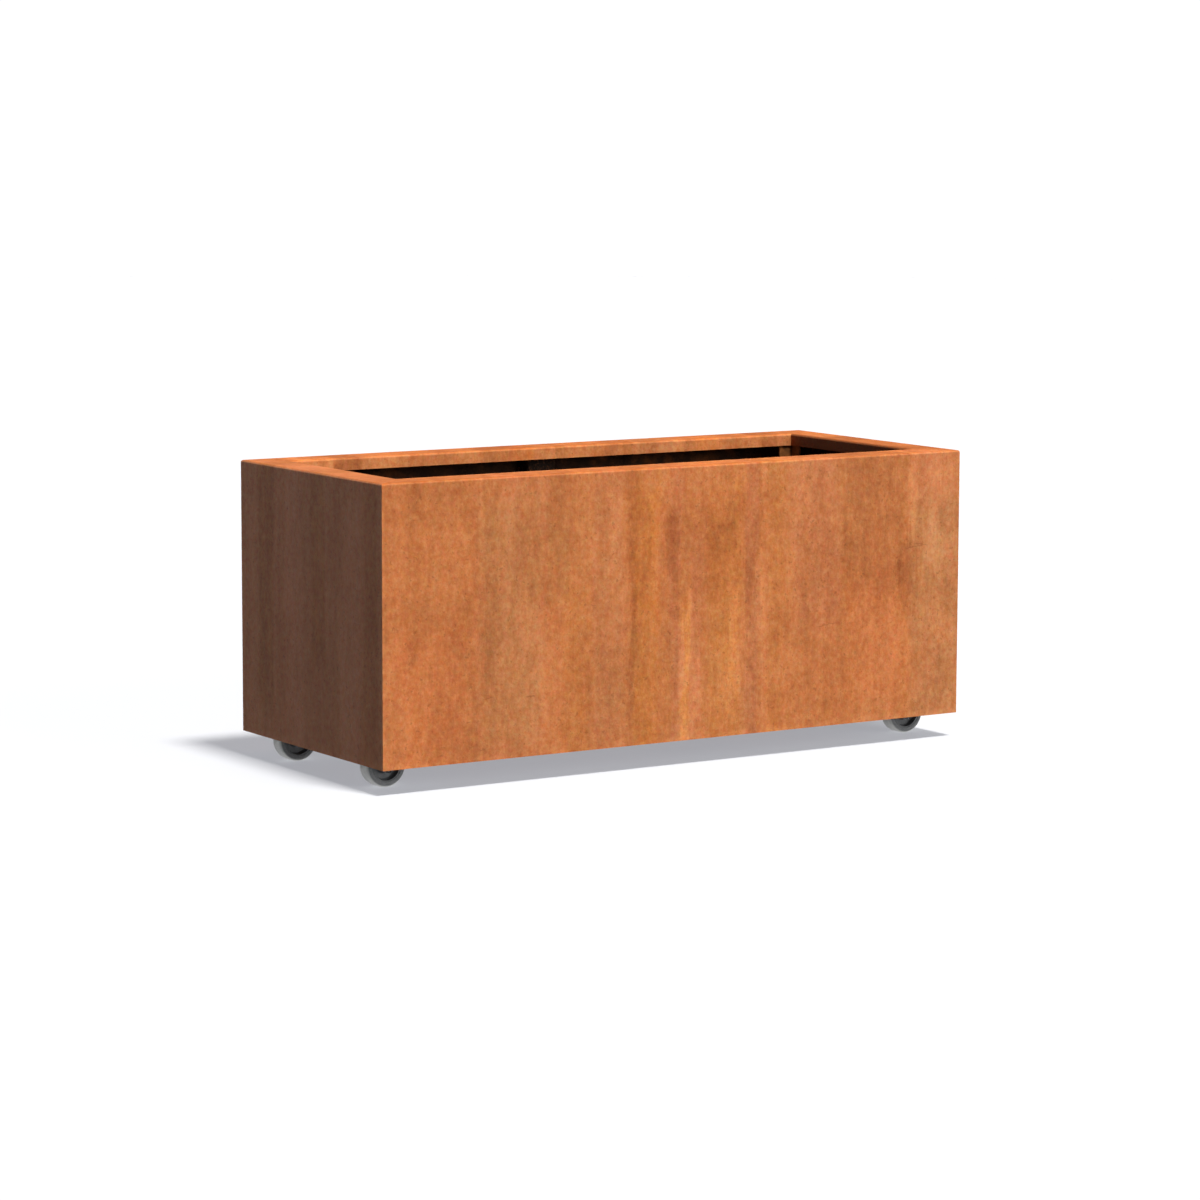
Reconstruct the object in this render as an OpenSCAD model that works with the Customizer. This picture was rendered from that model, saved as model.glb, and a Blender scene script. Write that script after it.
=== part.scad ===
// Rolling planter: a long trough of weathering steel on four swivel castors.
// The walls are folded from sheet, with a wide rim and a lip that turns down into the trough.
// The floor sits high between the walls, so that the skirt hides all but the foot of each castor.
// Millimetres. Z = 0 is the ground, X runs along the length and the front faces -Y.

/* [Planter box] */
// Length over the outside of the end walls
box_length = 1200; // [900:10:1800]
// Depth over the outside of the front and back walls
box_width = 500; // [420:10:800]
// Height from the skirt's lower edge to the top of the rim
box_height = 480; // [300:10:800]
// Thickness of the wall sheet
wall_t = 2; // [1.5:0.5:3]
// Width of the rim, seen from above
rim_width = 64; // [50:1:90]
// Depth of the lip on the inner edge of the rim
lip_depth = 22; // [14:1:40]
// Inside radius of every fold in sheet metal
fold_r = 2; // [1:0.5:3]
// Height of the skirt's lower edge above the ground
skirt_gap = 44; // [25:1:60]

/* [Floor] */
// Thickness of the floor sheet
floor_t = 2; // [1.5:0.5:4]
// Depth of the edge that the floor turns down along the walls
floor_edge = 25; // [15:1:28]
// Diameter of a drain hole
drain_d = 20; // [10:1:40]
// Number of drain holes in each bay, along the length
drain_columns = 2; // [1:1:4]
// Distance between the front and the back row of drain holes
drain_spacing = 220; // [120:10:260]
// Thickness of the channels under the floor
rail_t = 3; // [2:0.5:5]
// Depth of the channels under the floor
rail_depth = 20; // [12:1:24]
// Width of the channel that carries a pair of castors
castor_rail_width = 120; // [112:2:140]
// Width of the channel across the middle of the floor
middle_rail_width = 60; // [40:2:100]

/* [Stiffeners] */
// Width of the upright channel halfway along each long wall
upright_width = 60; // [40:2:100]
// How far the upright stands out from the wall
upright_depth = 30; // [15:1:40]
// Thickness of the upright's sheet
upright_t = 2; // [1.5:0.5:3]
// Leg of the angle behind each corner of the lip
bracket_leg = 30; // [20:1:40]
// Height of that angle
bracket_height = 50; // [35:1:80]
// Thickness of that angle
bracket_t = 3; // [2:0.5:4]

/* [Castor places] */
// From the planter's end to a swivel axis
castor_inset_x = 85; // [80:1:110]
// From the planter's front or back to a swivel axis
castor_inset_y = 95; // [84:1:120]
// Height of a castor from the ground to the top of its plate
castor_height = 100; // [98:1:115]

/* [Castor plate and bolts] */
// Length of the top plate
plate_length = 95; // [93:1:105]
// Width of the top plate
plate_width = 67; // [65:1:75]
// Thickness of the top plate
plate_t = 3; // [2.5:0.5:4]
// Corner radius of the top plate
plate_corner_r = 6; // [2:1:10]
// Distance between bolt holes along the plate
bolt_spacing_x = 75; // [72:1:80]
// Distance between bolt holes across the plate
bolt_spacing_y = 45; // [42:1:48]
// Diameter of the fixing bolts
bolt_d = 8; // [6:1:8]
// Room round a fixing bolt in its hole, on the radius
bolt_play = 0.5; // [0.25:0.05:1]

/* [Castor head] */
// Diameter of a bearing ball
ball_d = 5; // [4:0.5:6]
// Number of balls in the upper race
upper_balls = 16; // [8:1:18]
// Number of balls in the lower race
lower_balls = 9; // [6:1:10]
// Pitch radius of the upper race
upper_race_r = 21.5; // [21:0.5:23]
// Pitch radius of the lower race
lower_race_r = 12.5; // [12:0.5:13.5]
// Diameter of the kingpin
kingpin_d = 10; // [8:1:11]
// Thickness of the fork's steel
fork_t = 2.5; // [2:0.5:3]

/* [Wheel] */
// Diameter over the tread
wheel_d = 75; // [65:1:80]
// Width of the tyre
tyre_width = 30; // [22:1:34]
// Thickness of the tyre on the radius
tyre_t = 8.5; // [5:0.5:11]
// Radius of the tyre's shoulders
shoulder_r = 5; // [1:0.5:5]
// Width of the wheel's hub
hub_width = 36; // [34:1:40]
// Distance from the swivel axis to the axle, seen from above
trail = 32; // [28:1:34]
// Diameter of the axle bolt
axle_d = 8; // [6:1:10]
// Outer diameter of the sleeve that the wheel turns on
sleeve_d = 12; // [12:0.5:14]

/* [Hidden] */
// Play of a running fit, on the radius
running_play = 0.05;
// Play of a fixed pin or sleeve in its hole, on the radius
seat_play = 0.02;
curve_steps = 96;
small_steps = 48;
tiny = 0.01;

// Sheet metal box
fold_out = fold_r + wall_t;
top_z = skirt_gap + box_height;
inner_length = box_length - 2 * wall_t;
inner_width = box_width - 2 * wall_t;

// Floor and its channels
floor_under_z = castor_height + rail_t;
floor_top_z = floor_under_z + floor_t;
rail_length = inner_width - 2 * floor_t - 2 * fold_r;
floor_notch = floor_t + fold_r + 3;
bay_start = middle_rail_width / 2;
bay_end = box_length / 2 - castor_inset_x - castor_rail_width / 2;

// Castor places
castor_x = box_length / 2 - castor_inset_x;
castor_y = box_width / 2 - castor_inset_y;

// Fixing bolts, with the standard proportions of a hexagon bolt, nut and washer
bolt_r = bolt_d / 2;
bolt_hole_r = bolt_r + bolt_play;
hex_r = 0.94 * bolt_d;
bolt_head_h = 0.66 * bolt_d;
nut_h = 0.9 * bolt_d;
washer_r = bolt_d;
washer_t = 1.6;
bolt_end = 2;
plate_under_z = castor_height - plate_t;
bolt_low_z = plate_under_z - washer_t - nut_h - bolt_end;

// Castor head, from the plate down: upper race, fork crown, lower race, kingpin's foot
ball_r = ball_d / 2;
race_bite = 0.24 * ball_r;
race_groove_r = ball_r + running_play;
race_wall_gap = 0.4;
upper_ball_z = plate_under_z - ball_r + race_bite;
crown_top_z = upper_ball_z - ball_r + race_bite;
crown_under_z = crown_top_z - fork_t;
lower_ball_z = crown_under_z - ball_r + race_bite;
cup_top_z = lower_ball_z - ball_r + race_bite;
cup_t = 2.5;
cup_under_z = cup_top_z - cup_t;
cup_wall_t = 2;
cup_r = lower_race_r + race_groove_r + race_wall_gap + cup_wall_t;
kingpin_r = kingpin_d / 2;
kingpin_head_r = kingpin_r + 4;
kingpin_head_h = 3;
dish_gap = 0.5;
dish_depth = plate_under_z - crown_top_z - dish_gap;
dish_slope = 3;
dish_r = upper_race_r - ball_r - dish_slope + 0.5;
crown_wall_r = upper_race_r + race_groove_r + race_wall_gap;
crown_r = crown_wall_r + fork_t;
crown_hole_r = kingpin_r + 1.5;

// Fork legs and axle
fork_gap = 1;
leg_in = hub_width / 2 + fork_gap;
leg_out = leg_in + fork_t;
fork_fold_out = fork_t + 3;
axle_z = wheel_d / 2;
axle_r = axle_d / 2;
axle_boss_r = axle_r + 8;
axle_hex_r = 0.94 * axle_d;
axle_head_h = 0.66 * axle_d;
axle_nut_h = 0.95 * axle_d;
axle_end = 2;
neck_r = 20;
neck_x = 1;
neck_z = crown_top_z - neck_r + 3;

// Wheel
sleeve_r = sleeve_d / 2;
hub_bore_r = sleeve_r + running_play;
hub_r = hub_bore_r + 6;
rim_r = wheel_d / 2 - tyre_t;
rim_t = 3.5;
web_t = 6;
rim_half = tyre_width / 2 - 1;

// A castor's name, and the sides of the planter that it stands at
CASTORS = [["front_left", -1, -1], ["front_right", 1, -1], ["back_left", -1, 1], ["back_right", 1, 1]];
CASTOR_PIECES = ["castor_plate", "kingpin", "race_balls", "race_cup", "fork", "axle_bolt",
                 "axle_nut", "axle_sleeve", "wheel_core", "tyre"];
BOX_PIECES = ["front_wall", "back_wall", "left_end_wall", "right_end_wall", "floor_pan",
              "left_castor_rail", "right_castor_rail", "middle_rail", "front_upright",
              "back_upright", "castor_bolts", "bolt_washers", "castor_nuts"];

// ---- Sections that more than one piece is folded from ----

// Quarter of a ring in the first quadrant: the bend between two flats of a sheet
module bend(inner, outer) {
    intersection() {
        difference() {
            circle(r = outer, $fn = small_steps);
            circle(r = inner, $fn = small_steps);
        }
        square(outer);
    }
}

module quarter_disc(r) {
    intersection() {
        circle(r = r, $fn = small_steps);
        square(r);
    }
}

// Wall, rim and lip in one strip: X points into the trough and Y up from the skirt's edge
module wall_section() {
    square([wall_t, box_height - fold_out]);
    translate([fold_out, box_height - fold_out])
        rotate(90)
            bend(fold_r, fold_out);
    translate([fold_out, box_height - wall_t])
        square([rim_width - 2 * fold_out, wall_t]);
    translate([rim_width - fold_out, box_height - fold_out])
        bend(fold_r, fold_out);
    translate([rim_width - wall_t, box_height - lip_depth])
        square([wall_t, lip_depth - fold_out]);
}

// Channel with its web along the top edge, centred on X, open downwards
module channel_section(width, depth, t) {
    out = fold_r + t;
    for (side = [-1, 1])
        scale([side, 1]) {
            translate([width / 2 - t, -depth])
                square([t, depth - out]);
            translate([width / 2 - out, -out])
                bend(fold_r, out);
            translate([-tiny, -t])
                square([width / 2 - out + tiny, t]);
        }
}

// Angle with a round heel at the origin, a square root, and its legs along X and Y
module angle_section(leg, t) {
    translate([t, 0])
        square([leg - t, t]);
    translate([0, t])
        square([t, leg - t]);
    translate([t, t])
        rotate(180)
            quarter_disc(t);
}

// Block with its two upper edges along Y rounded, from the origin downwards
module round_topped(width, depth, height, r) {
    rotate([90, 0, 0])
        linear_extrude(depth, center = true) {
            for (side = [-1, 1])
                translate([side * (width / 2 - r), -r])
                    circle(r = r, $fn = small_steps);
            translate([r - width / 2, -height])
                square([width - 2 * r, height]);
            translate([-width / 2, -height])
                square([width, height - r]);
        }
}

// Circle at the origin and a second one at [x, y], with the straight sides that touch both
module taper(r1, x, y, r2) {
    reach = norm([x, y]);
    turn = asin((r1 - r2) / reach);
    circle(r = r1, $fn = curve_steps);
    translate([x, y])
        circle(r = r2, $fn = curve_steps);
    rotate(atan2(y, x))
        polygon([
            [r1 * sin(turn), r1 * cos(turn)],
            [reach + r2 * sin(turn), r2 * cos(turn)],
            [reach + r2 * sin(turn), -r2 * cos(turn)],
            [r1 * sin(turn), -r1 * cos(turn)]
        ]);
}

// ---- Planter box ----

// One wall of the box along X, with its outer face on the X axis and both ends mitred
module mitred_wall(length) {
    color("peru")
        translate([0, 0, skirt_gap])
            intersection() {
                rotate([90, 0, 90])
                    linear_extrude(length, center = true)
                        wall_section();
                linear_extrude(box_height)
                    polygon([
                        [-length / 2, 0],
                        [length / 2, 0],
                        [length / 2 - rim_width, rim_width],
                        [rim_width - length / 2, rim_width]
                    ]);
            }
}

module long_wall(side) {
    rotate(side < 0 ? 0 : 180)
        translate([0, -box_width / 2, 0])
            mitred_wall(box_length);
}

module end_wall(side) {
    rotate(side < 0 ? -90 : 90)
        translate([0, -box_length / 2, 0])
            mitred_wall(box_width);
}

// Places its children at the bolt holes of all four castors
module at_bolts() {
    for (c = CASTORS, x = [-1, 1], y = [-1, 1])
        translate([
            c[1] * castor_x + x * bolt_spacing_x / 2,
            c[2] * castor_y + y * bolt_spacing_y / 2,
            0
        ])
            children();
}

// Middle of drain column number i, counted outwards from the middle channel
function drain_x(i) = bay_start + (bay_end - bay_start) * (i + 1) / (drain_columns + 1);

// Shallow tray, upside down: its turned-down edges are welded to the walls
module floor_pan() {
    color("sienna")
        difference() {
            translate([0, 0, floor_top_z])
                intersection() {
                    round_topped(inner_length, inner_width, floor_t + floor_edge, fold_r + floor_t);
                    rotate(90)
                        round_topped(inner_width, inner_length, floor_t + floor_edge, fold_r + floor_t);
                }
            translate([0, 0, floor_under_z])
                intersection() {
                    round_topped(inner_length - 2 * floor_t, inner_width, 2 * floor_edge, fold_r);
                    rotate(90)
                        round_topped(inner_width - 2 * floor_t, inner_length, 2 * floor_edge, fold_r);
                }
            // relief notches, where the folds would meet at the corners
            for (x = [-1, 1], y = [-1, 1])
                translate([x * inner_length / 2, y * inner_width / 2, floor_under_z - floor_edge / 2 - tiny])
                    cube([2 * floor_notch, 2 * floor_notch, floor_edge + 2 * tiny], center = true);
            for (side = [-1, 1], y = [-1, 1], i = [0 : drain_columns - 1])
                translate([side * drain_x(i), y * drain_spacing / 2, floor_under_z - 1])
                    cylinder(h = floor_t + 2, d = drain_d, $fn = small_steps);
            at_bolts()
                translate([0, 0, floor_under_z - 1])
                    cylinder(h = floor_t + 2, r = bolt_hole_r, $fn = small_steps);
        }
}

// Channel across the planter, welded under the floor between the folds of its edges
module cross_rail(width) {
    translate([0, 0, floor_under_z])
        rotate([90, 0, 0])
            linear_extrude(rail_length, center = true)
                channel_section(width, rail_depth, rail_t);
}

module castor_rail(side) {
    color("sienna")
        difference() {
            translate([side * castor_x, 0, 0])
                cross_rail(castor_rail_width);
            at_bolts()
                translate([0, 0, castor_height - 1])
                    cylinder(h = rail_t + 2, r = bolt_hole_r, $fn = small_steps);
        }
}

module middle_rail() {
    color("sienna")
        cross_rail(middle_rail_width);
}

// Channel that stands on the floor with its toes against a long wall, up to the rim's fold
module upright(side) {
    color("saddlebrown")
        translate([0, side * (inner_width / 2 - upright_depth), floor_top_z])
            rotate(side < 0 ? 0 : 180)
                linear_extrude(top_z - fold_out - floor_top_z)
                    channel_section(upright_width, upright_depth, upright_t);
}

// Angle that ties the mitred lips together from behind, and shows a little below them
module lip_bracket(x_side, y_side) {
    color("peru")
        translate([
            x_side * (box_length / 2 - rim_width + wall_t),
            y_side * (box_width / 2 - rim_width + wall_t),
            top_z - fold_out - bracket_height
        ])
            scale([-x_side, -y_side, 1])
                linear_extrude(bracket_height)
                    translate([-bracket_t, -bracket_t])
                        angle_section(bracket_leg, bracket_t);
}

module hexagon(r, h) {
    cylinder(h = h, r = r, $fn = 6);
}

// Hexagon bolts, dropped in from inside the trough
module castor_bolts() {
    color("silver")
        at_bolts() {
            translate([0, 0, floor_top_z + washer_t])
                hexagon(hex_r, bolt_head_h);
            translate([0, 0, bolt_low_z])
                cylinder(h = floor_top_z + washer_t - bolt_low_z + tiny, r = bolt_r, $fn = small_steps);
        }
}

module bolt_washers() {
    color("gainsboro")
        at_bolts()
            for (z = [floor_top_z, plate_under_z - washer_t])
                translate([0, 0, z])
                    difference() {
                        cylinder(h = washer_t, r = washer_r, $fn = small_steps);
                        translate([0, 0, -1])
                            cylinder(h = washer_t + 2, r = bolt_r + seat_play, $fn = small_steps);
                    }
}

// Lock nuts under the castor plates: a hexagon with a round collar for the nylon ring
module castor_nuts() {
    color("silver")
        at_bolts()
            translate([0, 0, plate_under_z - washer_t - nut_h])
                difference() {
                    union() {
                        translate([0, 0, nut_h / 4])
                            hexagon(hex_r, 3 * nut_h / 4);
                        cylinder(h = nut_h, r = 0.8 * hex_r, $fn = small_steps);
                    }
                    translate([0, 0, -1])
                        cylinder(h = nut_h + 2, r = bolt_r + seat_play, $fn = small_steps);
                }
}

// ---- Castor, with the swivel axis on Z and the wheel trailing towards +X ----

module castor_plate() {
    color("lightsteelblue")
        difference() {
            union() {
                translate([0, 0, plate_under_z])
                    linear_extrude(plate_t)
                        difference() {
                            union() {
                                square([plate_length - 2 * plate_corner_r, plate_width], center = true);
                                square([plate_length, plate_width - 2 * plate_corner_r], center = true);
                                for (x = [-1, 1], y = [-1, 1])
                                    translate([
                                        x * (plate_length / 2 - plate_corner_r),
                                        y * (plate_width / 2 - plate_corner_r)
                                    ])
                                        circle(r = plate_corner_r, $fn = small_steps);
                            }
                            circle(r = dish_r + dish_slope - tiny, $fn = curve_steps);
                            for (x = [-1, 1], y = [-1, 1])
                                translate([x * bolt_spacing_x / 2, y * bolt_spacing_y / 2])
                                    circle(r = bolt_hole_r, $fn = small_steps);
                        }
                // pressed dish that carries the kingpin
                rotate_extrude($fn = curve_steps)
                    polygon([
                        [kingpin_r + seat_play, plate_under_z - dish_depth],
                        [dish_r, plate_under_z - dish_depth],
                        [dish_r + dish_slope, plate_under_z],
                        [dish_r + dish_slope, castor_height],
                        [dish_r + dish_slope - 0.3, castor_height],
                        [dish_r - 0.3, castor_height - dish_depth],
                        [kingpin_r + seat_play, castor_height - dish_depth]
                    ]);
            }
            race_groove(upper_race_r, upper_ball_z);
        }
}

// Ring that cuts a ball race
module race_groove(pitch_r, z) {
    translate([0, 0, z])
        rotate_extrude($fn = curve_steps)
            translate([pitch_r, 0])
                circle(r = race_groove_r, $fn = small_steps);
}

// Rivet that holds plate, balls, fork and cup together: a flat head above and a peened one below
module kingpin() {
    head_z = castor_height - dish_depth;
    color("darkgray")
        rotate_extrude($fn = curve_steps)
            polygon([
                [0, cup_under_z - kingpin_head_h],
                [kingpin_head_r - 2, cup_under_z - kingpin_head_h],
                [kingpin_head_r - 0.6, cup_under_z - kingpin_head_h + 1],
                [kingpin_head_r - 0.6, cup_under_z],
                [kingpin_r, cup_under_z],
                [kingpin_r, head_z],
                [kingpin_head_r, head_z],
                [kingpin_head_r, head_z + kingpin_head_h - 1],
                [kingpin_head_r - 1, head_z + kingpin_head_h],
                [0, head_z + kingpin_head_h]
            ]);
}

module ball_ring(count, pitch_r, z) {
    for (i = [0 : count - 1])
        rotate(i * 360 / count)
            translate([pitch_r, 0, z])
                sphere(r = ball_r, $fn = 32);
}

module race_balls() {
    color("white") {
        ball_ring(upper_balls, upper_race_r, upper_ball_z);
        ball_ring(lower_balls, lower_race_r, lower_ball_z);
    }
}

// Dished washer under the fork, held by the kingpin's foot
module race_cup() {
    color("lightsteelblue")
        difference() {
            rotate_extrude($fn = curve_steps)
                polygon([
                    [kingpin_r + seat_play, cup_under_z],
                    [cup_r - 1, cup_under_z],
                    [cup_r, cup_under_z + 1],
                    [cup_r, lower_ball_z + 1],
                    [cup_r - cup_wall_t, lower_ball_z + 1],
                    [cup_r - cup_wall_t, cup_top_z],
                    [kingpin_r + seat_play, cup_top_z]
                ]);
            race_groove(lower_race_r, lower_ball_z);
        }
}

// Fork: a round crown with the rim turned up about the balls, and two legs that lean back to the axle
module fork() {
    color("lightsteelblue")
        difference() {
            union() {
                rotate_extrude($fn = curve_steps)
                    polygon([
                        [crown_hole_r, crown_under_z],
                        [crown_r - 1.5, crown_under_z],
                        [crown_r, crown_under_z + 1.5],
                        [crown_r, upper_ball_z + 1],
                        [crown_wall_r, upper_ball_z + 1],
                        [crown_wall_r, crown_top_z],
                        [crown_hole_r, crown_top_z]
                    ]);
                intersection() {
                    fork_arch();
                    fork_side();
                }
            }
            translate([0, 0, crown_under_z - 1])
                cylinder(h = fork_t + 2, r = crown_hole_r, $fn = small_steps);
            race_groove(upper_race_r, upper_ball_z);
            race_groove(lower_race_r, lower_ball_z);
            translate([trail, 0, axle_z])
                rotate([90, 0, 0])
                    cylinder(h = 3 * leg_out, r = axle_r + running_play, center = true, $fn = small_steps);
        }
}

// Arch of the fork's sheet, seen along the planter
module fork_arch() {
    rotate([90, 0, 90])
        linear_extrude(4 * neck_r + 2 * trail, center = true)
            for (side = [-1, 1])
                scale([side, 1]) {
                    translate([leg_in, 0])
                        square([fork_t, crown_top_z - fork_fold_out]);
                    translate([leg_out - fork_fold_out, crown_top_z - fork_fold_out])
                        bend(fork_fold_out - fork_t, fork_fold_out);
                    translate([-tiny, crown_under_z])
                        square([leg_out - fork_fold_out + tiny, fork_t]);
                }
}

// Outline of a leg, seen from the side: wide at the crown and narrow at the axle
module fork_side() {
    rotate([90, 0, 0])
        linear_extrude(4 * leg_out, center = true) {
            translate([neck_x, neck_z])
                taper(neck_r, trail - neck_x, axle_z - neck_z, axle_boss_r);
            translate([neck_x - neck_r, neck_z])
                square([2 * neck_r, neck_r]);
        }
}

// Turns the Z axis onto the axle, with the bolt's head at the far end
module on_axle() {
    translate([trail, 0, axle_z])
        rotate([90, 0, 0])
            children();
}

module axle_bolt() {
    color("silver")
        on_axle() {
            translate([0, 0, -leg_out - axle_head_h])
                hexagon(axle_hex_r, axle_head_h);
            translate([0, 0, -leg_out - tiny])
                cylinder(h = 2 * leg_out + axle_nut_h + axle_end, r = axle_r, $fn = small_steps);
        }
}

module axle_nut() {
    color("silver")
        on_axle()
            translate([0, 0, leg_out])
                difference() {
                    union() {
                        hexagon(axle_hex_r, 3 * axle_nut_h / 4);
                        cylinder(h = axle_nut_h, r = 0.8 * axle_hex_r, $fn = small_steps);
                    }
                    translate([0, 0, -1])
                        cylinder(h = axle_nut_h + 2, r = axle_r + seat_play, $fn = small_steps);
                }
}

// Steel tube that the bolt clamps between the legs, so that the wheel runs free on it
module axle_sleeve() {
    color("darkgray")
        on_axle()
            difference() {
                cylinder(h = 2 * leg_in, r = sleeve_r, center = true, $fn = small_steps);
                cylinder(h = 2 * leg_out, r = axle_r + running_play, center = true, $fn = small_steps);
            }
}

// Half of the wheel centre's section, from the middle of the bore round to the middle of the rim
CORE_HALF = [
    [hub_bore_r, hub_width / 2 - 0.5],
    [hub_bore_r + 0.5, hub_width / 2],
    [hub_r - 1, hub_width / 2],
    [hub_r, hub_width / 2 - 1],
    [hub_r + 1.5, web_t / 2 + 1.5],
    [hub_r + 3, web_t / 2],
    [rim_r - rim_t - 2, web_t / 2],
    [rim_r - rim_t, web_t / 2 + 2],
    [rim_r - rim_t + 0.5, rim_half],
    [rim_r, rim_half]
];

// Moulded wheel centre: hub, dished web and rim
module wheel_core() {
    last = len(CORE_HALF) - 1;
    color("dimgray")
        on_axle()
            rotate_extrude($fn = curve_steps)
                polygon(concat(
                    CORE_HALF,
                    [for (i = [last : -1 : 0]) [CORE_HALF[i][0], -CORE_HALF[i][1]]]
                ));
}

// Rubber ring with a flat tread and round shoulders
module tyre() {
    half = tyre_width / 2;
    color("gray")
        on_axle()
            rotate_extrude($fn = curve_steps)
                for (side = [-1, 1])
                    scale([1, side]) {
                        translate([rim_r, -tiny])
                            square([tyre_t - shoulder_r, half + tiny]);
                        translate([rim_r, -tiny])
                            square([tyre_t, half - shoulder_r + tiny]);
                        translate([wheel_d / 2 - shoulder_r, half - shoulder_r])
                            quarter_disc(shoulder_r);
                    }
}

// Moves a castor to its corner: each one trails away from the middle of the planter
module at_castor(c) {
    translate([c[1] * castor_x, c[2] * castor_y, 0])
        rotate(c[1] < 0 ? 180 : 0)
            children();
}

// ---- The assembly ----

long_wall(-1);  // front_wall
long_wall(1);  // back_wall
end_wall(-1);  // left_end_wall
end_wall(1);  // right_end_wall
floor_pan();
castor_rail(-1);  // left_castor_rail
castor_rail(1);  // right_castor_rail
middle_rail();
upright(-1);  // front_upright
upright(1);  // back_upright
castor_bolts();
bolt_washers();
castor_nuts();
for (c = CASTORS) {
    lip_bracket(c[1], c[2]);
    at_castor(c) castor_plate();
    at_castor(c) kingpin();
    at_castor(c) race_balls();
    at_castor(c) race_cup();
    at_castor(c) fork();
    at_castor(c) axle_bolt();
    at_castor(c) axle_nut();
    at_castor(c) axle_sleeve();
    at_castor(c) wheel_core();
    at_castor(c) tyre();
}
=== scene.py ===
import math
import bmesh
import bpy
from mathutils import Matrix, Vector


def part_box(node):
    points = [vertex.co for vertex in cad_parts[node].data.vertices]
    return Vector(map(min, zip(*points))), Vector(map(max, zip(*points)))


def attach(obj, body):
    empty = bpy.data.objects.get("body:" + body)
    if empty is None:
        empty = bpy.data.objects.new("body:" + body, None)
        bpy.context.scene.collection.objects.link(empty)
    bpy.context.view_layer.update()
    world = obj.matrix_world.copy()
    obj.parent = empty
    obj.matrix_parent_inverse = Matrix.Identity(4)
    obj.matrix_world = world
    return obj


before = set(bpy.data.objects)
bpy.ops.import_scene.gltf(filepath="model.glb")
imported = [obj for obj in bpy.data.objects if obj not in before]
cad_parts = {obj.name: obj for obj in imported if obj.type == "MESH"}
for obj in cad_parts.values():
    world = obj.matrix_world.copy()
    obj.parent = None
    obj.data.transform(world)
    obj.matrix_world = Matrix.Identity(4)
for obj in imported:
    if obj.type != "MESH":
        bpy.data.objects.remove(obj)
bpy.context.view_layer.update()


# ==== Walls of the trough ====
# Four strips of 2 mm weathering steel, each folded into wall, rim and lip in one piece, mitred at
# the ends and welded along the corners. The welds are ground flush outside, and the steel is left
# to rust: a sandy orange-brown patina, with darker and brighter runs where rain has washed it.

# the sheet's thickness, the width of the rim and the outer radius of the folds
SHEET = 0.002
RIM_WIDTH = 0.064
FOLD_OUTSIDE = 2 * SHEET
half_length, half_width, top_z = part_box("back_wall")[1]
skirt_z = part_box("back_wall")[0].z


def linear(colour):
    """An sRGB colour of 0 to 255 as a linear RGBA colour."""
    parts = [c / 255 for c in colour]
    return [c / 12.92 if c <= 0.04045 else ((c + 0.055) / 1.055) ** 2.4 for c in parts] + [1.0]


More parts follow.
